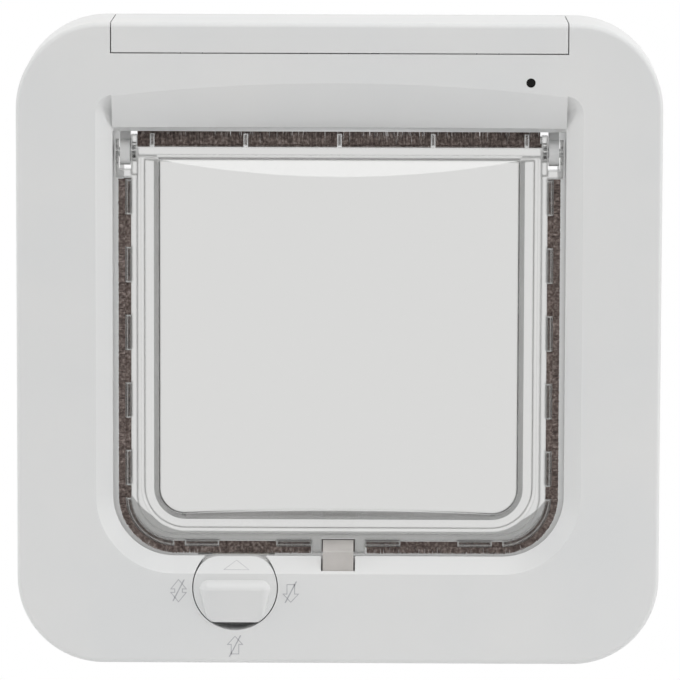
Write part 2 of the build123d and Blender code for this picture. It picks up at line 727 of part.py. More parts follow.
def flap_band(outer, inner, back, front, top=PILE_TOP, taper=0.0):
    """A strip that follows the flap's sides and bottom between two insets."""
    outside = prism(flap_outline(outer, top), back, front, taper)
    return outside - prism(flap_outline(inner, top + 5), back + 1, front - 1)


def side_boxes(top, length):
    """Boxes down both sides that pick out one row of tabs."""
    boxes = []
    inner = FLAP_HALF - 2 * WEB_IN
    for i in range(TAB_COUNT):
        high = top - i * TAB_PITCH
        boxes.append(box(-FAR, -inner, FRONT, 0, high - length, high))
        boxes.append(box(inner, FAR, FRONT, 0, high - length, high))
    return boxes


def low_boxes(spans):
    """Boxes along the bottom edge that pick out tabs on both sides of the middle."""
    high = FLAP_FLOOR + 0.965 * FLAP_CORNER
    boxes = []
    for x0, x1 in spans:
        boxes.append(box(x0, x1, FRONT, 0, -FAR, high))
        boxes.append(box(-x1, -x0, FRONT, 0, -FAR, high))
    return boxes


def front_tabs():
    """Tabs over the pile on the room side, one of them round each lower corner."""
    band = flap_band(TAB_REACH, WEB_IN, RIM_FRONT + TAB_THICK, RIM_FRONT, PILE_TOP, TAB_SLOPE)
    spans = [(NOTCH_HALF, 0.28 * FLAP_HALF), (0.538 * FLAP_HALF, 0.693 * FLAP_HALF)]
    spans.append((0.741 * FLAP_HALF, FAR))
    return [band & b for b in side_boxes(TAB_TOP, TAB_LENGTH) + low_boxes(spans)]


def rear_tabs():
    """Tabs on the outdoor side, between the front ones."""
    band = flap_band(TAB_REACH, WEB_OUT + 0.5, RIM_BACK, RIM_BACK - TAB_THICK)
    boxes = side_boxes(TAB_TOP - TAB_LENGTH, TAB_PITCH - TAB_LENGTH)
    return [band & b for b in boxes + low_boxes([(0.28 * FLAP_HALF, 0.538 * FLAP_HALF)])]


def window_limit(shift):
    """The space behind the bowed window and under its sloping top, moved in by shift."""
    front = BUMP_FRONT + shift
    back = RIM_BACK + RIM_DEPTH
    half = FLAP_HALF + 3
    drop = BUMP_BOW - math.sqrt(BUMP_BOW**2 - half**2)
    arc = ThreePointArc((-half, front + drop), (0, front), (half, front + drop))
    rest = Polyline((half, front + drop), (half, back), (-half, back), (-half, front + drop))
    bow = extrude(Plane((0, 0, -UNIT_HALF)) * make_face([arc, rest]), amount=UNIT_SIZE)
    tilt = math.hypot(1, SLOPE_RATIO)
    y0 = SLOPE_Y + shift * SLOPE_RATIO / tilt
    z0 = BUMP_TOP - shift / tilt
    top = BUMP_TOP - shift
    y1 = y0 + (top - z0) / SLOPE_RATIO
    low = -UNIT_HALF
    points = [(back, top), (y1, top), (FRONT, top - (y1 - FRONT) * SLOPE_RATIO), (FRONT, low), (back, low)]
    return bow & side_prism(points, -half, half)


def window_outline(inset):
    """The foot of the raised window, moved in by inset."""
    rest = BUMP_INSET + inset
    return outline(FLAP_HALF - rest, FLAP_FLOOR + rest, BUMP_TOP + 12, BUMP_CORNER - inset)


def window_bump():
    """The raised clear window, solid."""
    face = window_outline(0)
    body = prism(face, RIM_FRONT + FLAP_PLATE, RIM_FRONT) + prism(face, RIM_FRONT, RIM_FRONT - 10, BUMP_ANGLE)
    return body & window_limit(0)


def window_hollow():
    """The hollow behind the raised window, with an even side wall up to a crease and a thicker one beyond."""
    step = RIM_FRONT + HOLLOW_STEP
    crease = RIM_FRONT - HOLLOW_CREASE
    foot = window_outline(HOLLOW_INSET)
    neck = window_outline(HOLLOW_INSET + (step - crease) * math.tan(math.radians(BUMP_ANGLE)))
    body = prism(foot, RIM_BACK + RIM_DEPTH, step) + prism(foot, step, crease, BUMP_ANGLE)
    body += prism(neck, crease, crease - 10, HOLLOW_ANGLE)
    return body & window_limit(BUMP_WALL)


def hinge_bar():
    """The bar along the hinge with the channel and claws for the top pile."""
    bar = box(-BAR_HALF, BAR_HALF, SLOPE_Y, RIM_BACK, BAR_LOW, BAR_HIGH)
    bar += box(-BAR_HALF, BAR_HALF, RIM_BACK - 0.4, RIM_BACK + 0.8, BAR_LOW, BAR_HIGH + CLAW_TALL - 1)
    for i in range(-2, 3):
        bar += claw(i * CLAW_PITCH)
    return bar


def claw(x):
    """A finger with a sloping front that stands before the top pile."""
    back, low, high = RIM_FRONT + 0.3, BAR_HIGH - 1, BAR_HIGH + CLAW_TALL
    points = [(back, low), (back - CLAW_FOOT, low), (back - CLAW_HEAD, high), (back, high)]
    return side_prism(points, x - CLAW_WIDE / 2, x + CLAW_WIDE / 2)


def hinge_ears():
    """Ears on both sides of each lug, and the shoulders that carry the outer ones."""
    low = HINGE_Z - EAR_RADIUS - 1.2
    high = BAR_HIGH + 3.5
    inner_x = LUG_IN - EAR_GAP
    inner = rod_x(HINGE_Y, HINGE_Z, EAR_RADIUS, BAR_HALF, inner_x)
    inner += box(BAR_HALF, inner_x, RIM_FRONT, RIM_BACK + 0.8, low - 2, high)
    outer = rod_x(HINGE_Y, HINGE_Z, EAR_RADIUS, LUG_OUT + EAR_GAP, EAR_OUT)
    outer += box(LUG_OUT + EAR_GAP, EAR_OUT, RIM_FRONT, RIM_BACK, low - 2, HINGE_Z)
    shoulder = box(BAR_HALF, EAR_OUT, RIM_FRONT, RIM_BACK, PILE_TOP + 0.1, low)
    bore = rod_x(HINGE_Y, HINGE_Z, PIN_RADIUS + PIN_PRESS, BAR_HALF + 0.3, EAR_OUT + 1)
    return both_sides(inner + outer + shoulder), both_sides(bore)


def flap_panel():
    plate_top = BAR_LOW + 1
    body = prism(flap_outline(WEB_OUT, plate_top), RIM_FRONT + FLAP_PLATE, RIM_FRONT)
    body += flap_band(WEB_OUT, WEB_IN, RIM_BACK, RIM_FRONT, plate_top)
    body += window_bump()
    body += hinge_bar()
    for tab in front_tabs() + rear_tabs():
        body += tab
    low = FLAP_FLOOR + 0.5
    body += box(-NOTCH_HALF, NOTCH_HALF, RIM_FRONT, RIM_BACK, low, FLAP_FLOOR + WEB_OUT + 1)
    ears, bores = hinge_ears()
    body += ears
    return body - window_hollow() - bores - magnet_block(0.1)


def magnet_block(grow):
    """The bar magnet in the flap's bottom edge."""
    low = FLAP_FLOOR + MAGNET_LIFT
    half = MAGNET_HALF + grow
    front = RIM_FRONT + 0.1
    high = low + MAGNET_TALL
    return box(-half, half, front - 2 * grow, front + MAGNET_DEEP, low - grow, high + grow)


def flap_magnet():
    return magnet_block(0)


def side_pile(side):
    """Backing held between the tabs, with the fuller pile outside it."""
    inset = TAB_THICK + 0.1
    backing = flap_band(TAB_REACH, WEB_OUT, RIM_BACK - inset, RIM_FRONT + inset)
    pile = flap_band(0, TAB_REACH, RIM_BACK - 0.3, RIM_FRONT + 0.3)
    x0, x1 = sorted((side * (NOTCH_HALF + 0.1), side * FAR))
    return (backing + pile) & box(x0, x1, -FAR, 0, -FAR, FAR)


def top_pile():
    half = BAR_HALF - 0.1
    return box(-half, half, RIM_FRONT + 0.4, RIM_BACK - 0.5, BAR_HIGH, TOP_PILE_HIGH)


def hinge_pins():
    pin = rod_x(HINGE_Y, HINGE_Z, PIN_RADIUS, BAR_HALF + 0.4, EAR_OUT - 0.1)
    return Compound(children=[pin, mirror(pin, about=Plane.YZ)])


def grip_section(z, high):
    """A level cut through the grip: a bar across the knob that stands high, with round ends."""
    flat, end, turn = GRIP_FLAT, GRIP_FLAT + high, high * math.sqrt(0.5)
    left = ThreePointArc((-end, 0), (-flat - turn, -turn), (-flat, -high))
    right = ThreePointArc((flat, -high), (flat + turn, -turn), (end, 0))
    rest = [Line((-flat, -high), (flat, -high)), Polyline((end, 0), (end, 1), (-end, 1), (-end, 0))]
    return Plane((KNOB_X, GRIP_Y, z)) * make_face([left, right] + rest)


def knob_grip():
    """The grip across the knob: a round ridge with ball ends that eases away to the lower edge."""
    x0, x1 = KNOB_X - GRIP_FLAT, KNOB_X + GRIP_FLAT
    ridge = rod_x(GRIP_Y, GRIP_Z, GRIP_ROUND, x0, x1)
    ridge += [Pos(x, GRIP_Y, GRIP_Z) * Sphere(GRIP_ROUND) for x in (x0, x1)]
    ridge &= box(-FAR, FAR, -FAR, FRONT + 1, GRIP_Z, FAR)
    foot = grip_section(KNOB_Z - KNOB_FLAT_DOWN, GRIP_FOOT)
    grip = ridge + loft([grip_section(GRIP_Z, GRIP_ROUND), foot])
    return grip & rod_y(KNOB_X, KNOB_Z, KNOB_RADIUS - 0.5, FRONT - 10, FRONT + 5)


def spindle_flat(flat, y0):
    """The space over the flat that keys the cam to the spindle."""
    return box(KNOB_X - 6, KNOB_X + 6, y0, CAM_BACK + 2, KNOB_Z + flat, KNOB_Z + 6)


def lock_knob():
    disc = rod_y(KNOB_X, KNOB_Z, KNOB_RADIUS, FRONT, KNOB_BACK)
    disc &= box(-FAR, FAR, -FAR, 0, KNOB_Z - KNOB_FLAT_DOWN, KNOB_Z + KNOB_FLAT_UP)
    shoulders = disc.edges().filter_by(Axis.Y).group_by(Axis.Z)[-1]
    disc = fillet(shoulders, KNOB_SHOULDER)
    slope_low = OPEN_FLOOR - BEZEL_WIDTH
    slope_high = slope_low + 2 * BEZEL_WIDTH
    wedge = [
        (FRONT, slope_low),
        (FRONT + 2 * BEZEL_DEPTH, slope_high),
        (FRONT - 3, slope_high),
        (FRONT - 3, slope_low),
    ]
    disc -= side_prism(wedge, KNOB_X - 2 * KNOB_RADIUS, KNOB_X + 2 * KNOB_RADIUS)
    spindle = rod_y(KNOB_X, KNOB_Z, SPINDLE_RADIUS, KNOB_BACK - 1, CAM_BACK)
    spindle -= spindle_flat(SPINDLE_FLAT, CAM_FRONT)
    return disc + knob_grip() + spindle - rod_y(KNOB_X, KNOB_Z, CAM_SCREW + 0.1, CAM_BACK - 8, CAM_BACK + 1)


def lock_cam():
    cam = rod_y(KNOB_X, KNOB_Z, CAM_RADIUS, CAM_FRONT, CAM_BACK)
    cam &= box(KNOB_X - CAM_FLAT, FAR, -FAR, 0, -FAR, KNOB_Z + CAM_FLAT)
    bore = rod_y(KNOB_X, KNOB_Z, SPINDLE_RADIUS + SPINDLE_GAP, CAM_FRONT - 1, CAM_BACK + 1)
    return cam - (bore - spindle_flat(SPINDLE_FLAT + SPINDLE_GAP, CAM_FRONT - 2))


def cam_screw():
    washer = CAM_BACK + 1.0
    screw = rod_y(KNOB_X, KNOB_Z, CAM_SCREW, CAM_BACK - 7, CAM_BACK)
    screw += rod_y(KNOB_X, KNOB_Z, SPINDLE_RADIUS + 1.4, CAM_BACK, washer)
    screw += rod_y(KNOB_X, KNOB_Z, 2.6, washer, washer + 1.4)
    return screw - box(KNOB_X - 2, KNOB_X + 2, washer + 0.6, washer + 3, KNOB_Z - 0.4, KNOB_Z + 0.4)


def rack_teeth():
    """Straight-sided teeth that point right, one of them level with the pinion's axis."""
    pitch = math.pi * GEAR_MODULE
    slope = math.tan(math.radians(20))
    half = pitch / 4 - GEAR_BACKLASH / 4
    teeth = []
    for k in range(-1, 4):
        z = GEAR_Z + k * pitch
        points = [
            (RACK_X - RACK_ROOT, z - half - RACK_ROOT * slope),
            (RACK_X + RACK_ADDENDUM, z - half + RACK_ADDENDUM * slope),
            (RACK_X + RACK_ADDENDUM, z + half - RACK_ADDENDUM * slope),
            (RACK_X - RACK_ROOT, z + half + RACK_ROOT * slope),
        ]
        teeth.append(make_face(Polyline(*points, close=True)))
    return teeth


def latch_slide():
    profile = [
        (STEM_FRONT, LATCH_LOW),
        (STEM_FRONT, LATCH_HEAD_LOW),
        (LATCH_FRONT, LATCH_HEAD_LOW),
        (LATCH_FRONT, LATCH_BREAK),
        (LATCH_BACK, LATCH_TOP),
        (LATCH_BACK, LATCH_LOW),
    ]
    body = side_prism(profile, -LATCH_HALF, LATCH_HALF)
    edges = body.edges().filter_by(Axis.X).group_by(Axis.Z)
    body = fillet(edges[-1] + edges[-2], LATCH_EDGE)
    body -= box(RACK_X - RACK_ROOT, FAR, -FAR, 0, -FAR, GEAR_Z + RACK_TALL)
    for tooth in rack_teeth():
        body += prism(tooth, LATCH_BACK, STEM_FRONT)
    return body


def tooth_points(centre):
    """One pinion tooth's outline, from root to tip and back."""
    base = GEAR_RADIUS * math.cos(math.radians(20))
    tip = GEAR_RADIUS + GEAR_MODULE
    root = GEAR_RADIUS - 1.25 * GEAR_MODULE
    inv_pitch = math.tan(math.radians(20)) - math.radians(20)
    half_pitch = math.pi / 2 / GEAR_TEETH - GEAR_BACKLASH / 4 / GEAR_RADIUS
    side = []
    for r in (root, base, (base + GEAR_RADIUS) / 2, GEAR_RADIUS, (GEAR_RADIUS + tip) / 2, tip):
        pressure = math.acos(min(1.0, base / r))
        side.append((r, half_pitch + inv_pitch - (math.tan(pressure) - pressure)))
    turns = [(r, centre - a) for r, a in side] + [(r, centre + a) for r, a in reversed(side)]
    return [(GEAR_X + r * math.cos(t), GEAR_Z + r * math.sin(t)) for r, t in turns]


def latch_pinion():
    step = 2 * math.pi / GEAR_TEETH
    points = []
    for k in range(GEAR_TEETH):
        points += tooth_points(math.pi + (k + 0.5) * step)
    gear = prism(make_face(Polyline(*points, close=True)), GEAR_FRONT + GEAR_WIDTH, GEAR_FRONT)
    gear += rod_y(GEAR_X, GEAR_Z, GEAR_HUB, GEAR_FRONT, GEARBOX_FRONT - 0.5)
    return gear - rod_y(GEAR_X, GEAR_Z, GEAR_BORE, -FAR, 0)


def battery_cover():
    back = -BACK_PLATE - 0.3
    body = unit_block() & box(-COVER_HALF, COVER_HALF, FRONT - 1, back, COVER_LOW, FAR)
    inside = square_outline(UNIT_SIZE - 2 * COVER_WALL, UNIT_CORNER)
    body -= prism(inside, 0, FRONT + COVER_WALL, UNIT_DRAFT)
    end = TRAY_FRONT + TONGUE_THICK
    half = TONGUE_WIDTH / 2
    for x in (-TONGUE_X, TONGUE_X):
        body += box(x - half, x + half, FRONT + 1.5, end, COVER_LOW + 1, COVER_LOW + 5)
        body += box(x - half, x + half, TRAY_FRONT, end, COVER_LOW - TONGUE_DROP, COVER_LOW + 4)
    return body


def learn_button():
    low = SWITCH_TOP + BUTTON_REST
    flange_top = SHELF_TOP - TRAY_WALL - 0.3
    cap = rod_z(BUTTON_X, BUTTON_Y, BUTTON_RADIUS, low, SHELF_TOP + BUTTON_RISE)
    return cap + rod_z(BUTTON_X, BUTTON_Y, BUTTON_RADIUS + BUTTON_FLANGE, low, flange_top)


NODES = {
    "front_frame": front_frame,
    "rear_housing": rear_housing,
    "exterior_frame": exterior_frame,
    "mounting_screws": mounting_screws,
    "screw_caps": screw_caps,
    "housing_screws": housing_screws,
    "antenna_coil": antenna_coil,
    "control_board": control_board,
    "board_components": board_components,
    "status_led": status_led,
    "battery_tray": battery_tray,
    "battery_cells": battery_cells,
    "battery_contacts": battery_contacts,
    "latch_gearmotor": latch_gearmotor,
    "frame_magnet": frame_magnet,
    "learn_switch": learn_switch,
    "flap_panel": flap_panel,
    "side_pile_left": lambda: side_pile(-1),
    "side_pile_right": lambda: side_pile(1),
    "top_pile": top_pile,
    "flap_magnet": flap_magnet,
    "hinge_pins": hinge_pins,
    "lock_knob": lock_knob,
    "lock_cam": lock_cam,
    "cam_screw": cam_screw,
    "latch_slide": latch_slide,
    "latch_pinion": latch_pinion,
    "battery_cover": battery_cover,
    "learn_button": learn_button,
}

for name, make in NODES.items():
    export_step(make(), f"parts/{name}.step")
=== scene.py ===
import json
import math

import bpy
from mathutils import Matrix, Vector


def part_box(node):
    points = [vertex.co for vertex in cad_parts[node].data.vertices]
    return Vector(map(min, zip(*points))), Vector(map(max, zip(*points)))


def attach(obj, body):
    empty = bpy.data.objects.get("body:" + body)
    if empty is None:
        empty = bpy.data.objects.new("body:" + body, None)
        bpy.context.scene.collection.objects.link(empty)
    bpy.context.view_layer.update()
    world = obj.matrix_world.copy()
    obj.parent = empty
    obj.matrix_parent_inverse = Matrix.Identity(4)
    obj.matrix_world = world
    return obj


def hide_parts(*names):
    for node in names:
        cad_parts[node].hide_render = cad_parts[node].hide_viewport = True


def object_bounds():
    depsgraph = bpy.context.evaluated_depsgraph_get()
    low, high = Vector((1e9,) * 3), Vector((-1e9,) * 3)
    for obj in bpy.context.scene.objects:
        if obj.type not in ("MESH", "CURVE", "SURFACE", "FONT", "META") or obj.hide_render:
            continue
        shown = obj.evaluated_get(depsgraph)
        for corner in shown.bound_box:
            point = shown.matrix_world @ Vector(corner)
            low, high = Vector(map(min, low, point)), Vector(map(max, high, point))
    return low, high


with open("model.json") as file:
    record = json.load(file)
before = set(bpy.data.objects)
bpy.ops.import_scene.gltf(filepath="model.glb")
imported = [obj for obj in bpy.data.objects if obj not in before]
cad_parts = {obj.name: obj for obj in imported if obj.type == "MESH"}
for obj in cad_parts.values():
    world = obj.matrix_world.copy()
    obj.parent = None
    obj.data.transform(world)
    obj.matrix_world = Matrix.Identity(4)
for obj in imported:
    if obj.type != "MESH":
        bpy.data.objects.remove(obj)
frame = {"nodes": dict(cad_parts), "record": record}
cad_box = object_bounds()

MM = 0.001
QUARTER_TURN = math.radians(90)

# Camera, fitted to the photograph, with its lens and sensor in millimetres
TARGET = Vector((0.43, -36.0, 1.86)) * MM
DISTANCE = 1570 * MM
ELEVATION = math.radians(6.32)
AZIMUTH = math.radians(0.36)
ROLL = math.radians(0.18)
LENS = 258.2
SENSOR = 36.0
CLIP_NEAR = 0.05
CLIP_FAR = 50

# Pile weather strips. The backing laps a little up the fibres, which stop short of the strip's full height
# so that ruffling them keeps them inside it. ARC_HANDLE is a Bezier handle's share of a quarter circle's
# radius.
FLAP_CORNER = 19.4 * MM
STRIP_TALL = 4.8 * MM
BACKING_TALL = 2.0 * MM
BACKING_TALL_TOP = 0.6 * MM
BACKING_DEEP = 2.2 * MM
BACKING_LAP = 0.3 * MM
BACKING_CUTS = 120
FIBRE_PITCH = 0.5 * MM
FIBRE_WIDE = 0.5 * MM
FIBRE_TIP = 0.75
FIBRE_SIDES = 3
FIBRE_SPREAD = 0.2 * MM
FIBRE_SHORT = 0.7 * MM
ARC_HANDLE = 0.5523
ARC_STEPS = 48
SEED_RIGHT = 3
SEED_LEFT = 5
SEED_TOP = 9

# Painted highlight on the clear flap: its edges are made partly white and matt where glints would be.
# Their width, the cosines between which they fade, and the share of light that goes through them
GLINT_WIDE = 1.2 * MM
GLINT_SAMPLES = 6
GLINT_FADE = (0.88, 0.97)
GLINT_PASS = 0.15

# A cell's ends, from the tray's middle
CELL_CAP = 3 * MM
CELL_END = 54 * MM

# Scales of the fine lines on drawn metal, by the axis they run along
LINES_X = (0.2, 1.0, 1.0)
LINES_Y = (1.0, 0.2, 1.0)
LINES_Z = (1.0, 1.0, 0.2)

# A wave texture repeats at this length where its scale is 1
WAVE_REPEAT = math.pi / 10

# Signs moulded on the face and the knob. The pointer lies on the slope at the top of the knob, which starts
# at SLOPE_LOW on the face and leans back by SLOPE_ANGLE.
LINE_WIDE = 0.24 * MM
LINE_PROUD = 0.03 * MM
ARROW_WIDE = 5.5 * MM
SHAFT_WIDE = 2.7 * MM
SLASH_WIDE = 0.44 * MM
SLASH_TALL = 7.0 * MM
SLASH_LEAN = 1.8 * MM
TRIANGLE_WIDE = 8.4 * MM
TRIANGLE_TALL = 3.95 * MM
TRIANGLE_RISE = 1.55 * MM
TRIANGLE_SIDE = 0.4 * MM
FACE_Y = -36.0 * MM
SLOPE_LOW = -74.4 * MM
SLOPE_ANGLE = math.atan2(5.0, 5.2)

# Each crossed arrow: how many heads, which way up, its height and head in millimetres, then how far it is
# right of and above the knob's axis, and how far its slash is above its middle
FACE_SIGNS = (
    ("both_ways", 2, 1, 7.7, 3.4, -18.3, -1.0, 0.1),
    ("in_only", 1, 1, 6.1, 3.0, 0.0, -18.75, -0.35),
    ("out_only", 1, -1, 6.1, 3.0, 18.05, -1.8, 0.45),
)

# Stage
FLOOR_DROP = 150 * MM
FLOOR_SIZE = 1.3

# Surround: its strength as light and in reflections, on the room side and outdoors, and the headings along
# Y between which it changes
ROOM_LIGHT = 0.36
OUTDOOR_LIGHT = 1.0
LIGHT_TURN = (0.3, 0.7)
ROOM_MIRRORED = 0.3
OUTDOOR_MIRRORED = 1.0
MIRRORED_TURN = (-0.3, 0.3)

# Soft lights: place and width in metres, and power in watts
SOFTBOXES = (
    ("softbox_above", (0.15, -0.5, 1.6), 1.2, 11),
    ("softbox_front", (0.05, -1.46, 0.88), 0.8, 4.5),
    ("softbox_right", (1.7, -0.35, 0.35), 1.0, 10),
    ("softbox_left", (-1.7, -0.35, 0.35), 1.0, 8),
)


def linear(code):
    """An sRGB hex colour as linear RGBA."""
    parts = [int(code[i : i + 2], 16) / 255 for i in (1, 3, 5)]
    return [c / 12.92 if c <= 0.04045 else ((c + 0.055) / 1.055) ** 2.4 for c in parts] + [1.0]


def per_mm(size):
    """A texture scale whose features are about size millimetres wide."""
    return 1 / (size * MM)


def add_node(tree, kind, settings=None, links=None):
    """Adds a node, sets its inputs, properties or colour stops by name and links its inputs."""
    made = tree.nodes.new(kind)
    for key, value in (settings or {}).items():
        if key == "stops":
            elements = made.color_ramp.elements
            while len(elements) < len(value):
                elements.new(0.5)
            for element, (position, code) in zip(elements, value):
                element.position = position
                element.color = linear(code)
        elif key in made.inputs:
            made.inputs[key].default_value = value
        else:
            setattr(made, key, value)
    for key, socket in (links or {}).items():
        tree.links.new(socket, made.inputs[key])
    return made


def start_material(name):
    """A new material, its empty node tree and the object coordinates that its patterns read."""
    material = bpy.data.materials.new(name)
    material.use_nodes = True
    tree = material.node_tree
    tree.nodes.clear()
    return material, tree, add_node(tree, "ShaderNodeTexCoord").outputs["Object"]


def end_material(material, settings, links):
    """Closes a material with its surface shader, which its patterns are linked to."""
    tree = material.node_tree
    shader = add_node(tree, "ShaderNodeBsdfPrincipled", settings, links)
    add_node(tree, "ShaderNodeOutputMaterial", links={"Surface": shader.outputs["BSDF"]})
    return material


def moulded_abs():
    # ABS moulded in a spark-eroded tool: an even pale shell whose fine grain makes a soft, wide sheen.
    # The grain is drawn coarser than the real one so that it shows.
    material, tree, place = start_material("abs_moulded_fine_grain")
    flow = add_node(tree, "ShaderNodeTexNoise", {"Scale": per_mm(45), "Detail": 2.0}, {"Vector": place})
    grain = add_node(tree, "ShaderNodeTexNoise", {"Scale": per_mm(0.7), "Detail": 3.0}, {"Vector": place})
    colour = add_node(
        tree,
        "ShaderNodeValToRGB",
        {"stops": [(0.3, "#E2E3E3"), (0.7, "#E6E6E5")]},
        {"Fac": flow.outputs["Fac"]},
    )
    rough = add_node(
        tree, "ShaderNodeMapRange", {"To Min": 0.40, "To Max": 0.52}, {"Value": grain.outputs["Fac"]}
    )
    bump = add_node(
        tree,
        "ShaderNodeBump",
        {"Strength": 0.12, "Distance": 0.05 * MM},
        {"Height": grain.outputs["Fac"]},
    )
    return end_material(
        material,
        {"IOR": 1.53, "Specular IOR Level": 0.42},
        {
            "Base Color": colour.outputs["Color"],
            "Roughness": rough.outputs["Result"],
            "Normal": bump.outputs["Normal"],
        },
    )


def moulded_polycarbonate():
    # Polycarbonate moulded in a polished tool: clear with a slight smoke tint and a faint ripple.
    # Its square edges let little light through and show the pale base colour: a painted highlight
    # that draws the tabs and claws in pale lines. An edge is where the normal of the rounded shape
    # leaves that of the face.
    material, tree, place = start_material("polycarbonate_moulded_clear")
    rounded = add_node(tree, "ShaderNodeBevel", {"samples": GLINT_SAMPLES, "Radius": GLINT_WIDE})
    surface = add_node(tree, "ShaderNodeNewGeometry")
    square = add_node(
        tree,
        "ShaderNodeVectorMath",
        {"operation": "DOT_PRODUCT"},
        {0: rounded.outputs["Normal"], 1: surface.outputs["True Normal"]},
    )
    # Painted highlight: less light goes through at the edges, so the pale base colour shows there
    clear = add_node(
        tree,
        "ShaderNodeMapRange",
        {"From Min": GLINT_FADE[0], "From Max": GLINT_FADE[1], "To Min": GLINT_PASS, "To Max": 1.0},
        {"Value": square.outputs["Value"]},
    )
    ripple = add_node(tree, "ShaderNodeTexNoise", {"Scale": per_mm(30), "Detail": 1.0}, {"Vector": place})
    bump = add_node(
        tree,
        "ShaderNodeBump",
        {"Strength": 0.05, "Distance": 0.2 * MM},
        {"Height": ripple.outputs["Fac"]},
    )
    return end_material(
        material,
        {"Base Color": linear("#DEDEDD"), "Roughness": 0.02, "IOR": 1.5},
        {"Transmission Weight": clear.outputs["Result"], "Normal": bump.outputs["Normal"]},
    )


def brushed_pile():
    # Polypropylene pile, cut and brushed: matt brown fibres, paler where their tips catch light. The colour
    # varies by tufts, because single fibres are too fine to show.
    material, tree, place = start_material("polypropylene_pile_brushed")
    tufts = add_node(tree, "ShaderNodeTexNoise", {"Scale": per_mm(0.9), "Detail": 4.0}, {"Vector": place})
    colour = add_node(
        tree,
        "ShaderNodeValToRGB",
        {"stops": [(0.28, "#4A3E3A"), (0.5, "#786A64"), (0.72, "#A99C96")]},
        {"Fac": tufts.outputs["Fac"]},
    )
    return end_material(
        material,
        {"Roughness": 0.85, "IOR": 1.49, "Sheen Weight": 0.25, "Sheen Roughness": 0.5},
        {"Base Color": colour.outputs["Color"]},
    )


def moulded_plastic(name, dark, pale, roughness):
    # A moulded engineering plastic: one colour with a faint cloud of flow and a fine satin grain, which is
    # drawn coarser than the real one so that it shows.
    material, tree, place = start_material(name)
    flow = add_node(tree, "ShaderNodeTexNoise", {"Scale": per_mm(6), "Detail": 3.0}, {"Vector": place})
    grain = add_node(tree, "ShaderNodeTexNoise", {"Scale": per_mm(0.5), "Detail": 2.0}, {"Vector": place})
    colour = add_node(
        tree,
        "ShaderNodeValToRGB",
        {"stops": [(0.35, dark), (0.65, pale)]},
        {"Fac": flow.outputs["Fac"]},
    )
    rough = add_node(
        tree,
        "ShaderNodeMapRange",
        {"To Min": roughness - 0.06, "To Max": roughness + 0.06},
        {"Value": grain.outputs["Fac"]},
    )
    bump = add_node(
        tree,
        "ShaderNodeBump",
        {"Strength": 0.15, "Distance": 0.03 * MM},
        {"Height": grain.outputs["Fac"]},
    )
    return end_material(
        material,
        {"IOR": 1.5},
        {
            "Base Color": colour.outputs["Color"],
            "Roughness": rough.outputs["Result"],
            "Normal": bump.outputs["Normal"],
        },
    )


def drawn_metal(name, dark, pale, roughness, streak):
    # A metal with the fine lines of its making, which vary its colour and gloss in streaks. They are drawn
    # coarser than the real ones so that they show.
    material, tree, place = start_material(name)
    stretched = add_node(tree, "ShaderNodeMapping", {"Scale": streak}, {"Vector": place})
    lines = add_node(
        tree,
        "ShaderNodeTexNoise",
        {"Scale": per_mm(0.3), "Detail": 2.0},
        {"Vector": stretched.outputs["Vector"]},
    )
    colour = add_node(
        tree,
        "ShaderNodeValToRGB",
        {"stops": [(0.3, dark), (0.7, pale)]},
        {"Fac": lines.outputs["Fac"]},
    )
    rough = add_node(
        tree,
        "ShaderNodeMapRange",
        {"To Min": roughness - 0.08, "To Max": roughness + 0.1},
        {"Value": lines.outputs["Fac"]},
    )
    return end_material(
        material,
        {"Metallic": 1.0},
        {"Base Color": colour.outputs["Color"], "Roughness": rough.outputs["Result"]},
    )


def wound_copper():
    # Enamelled copper wire wound side by side round the tunnel, glossy, in bands one wire wide: each runs
    # from dark to pale copper, painted shade between the turns and a painted highlight along them.
    material, tree, place = start_material("copper_wire_enamelled")
    turn_shading = add_node(
        tree,
        "ShaderNodeTexWave",
        {"bands_direction": "Y", "Scale": per_mm(0.6) * WAVE_REPEAT, "Distortion": 0.4},
        {"Vector": place},
    )
    # Painted shade and highlight: dark copper between the turns, pale copper along them
    colour = add_node(
        tree,
        "ShaderNodeValToRGB",
        {"stops": [(0.1, "#6E3A1E"), (0.8, "#C27B4A")]},
        {"Fac": turn_shading.outputs["Fac"]},
    )
    bump = add_node(
        tree, "ShaderNodeBump", {"Strength": 0.6, "Distance": 0.15 * MM}, {"Height": turn_shading.outputs["Fac"]}
    )
    return end_material(
        material,
        {"Metallic": 0.9, "Roughness": 0.3, "Coat Weight": 0.6},
        {"Base Color": colour.outputs["Color"], "Normal": bump.outputs["Normal"]},
    )


def resist_board():
    # Glass-epoxy board under green solder resist: copper runs show as slightly paler lines.
    material, tree, place = start_material("board_solder_resist_green")
    turned = add_node(tree, "ShaderNodeMapping", {"Rotation": (QUARTER_TURN, 0.0, 0.0)}, {"Vector": place})
    runs = add_node(
        tree,
        "ShaderNodeTexBrick",
        {
            "Scale": 1.0,
            "Brick Width": 6 * MM,
            "Row Height": 1.6 * MM,
            "Mortar Size": 0.25 * MM,
            "Color1": linear("#14502B"),
            "Color2": linear("#175A31"),
            "Mortar": linear("#2C7A4A"),
        },
        {"Vector": turned.outputs["Vector"]},
    )
    return end_material(material, {"Roughness": 0.35, "IOR": 1.5}, {"Base Color": runs.outputs["Color"]})


def sintered_ferrite():
    # Sintered ferrite: a dull dark ceramic with pale and dark specks from pressing, drawn coarser than the
    # real ones so that they show.
    material, tree, place = start_material("ferrite_sintered")
    specks = add_node(tree, "ShaderNodeTexNoise", {"Scale": per_mm(0.6), "Detail": 5.0}, {"Vector": place})
    colour = add_node(
        tree,
        "ShaderNodeValToRGB",
        {"stops": [(0.35, "#241C19"), (0.7, "#4B4039")]},
        {"Fac": specks.outputs["Fac"]},
    )
    return end_material(material, {"Roughness": 0.6, "IOR": 1.8}, {"Base Color": colour.outputs["Color"]})


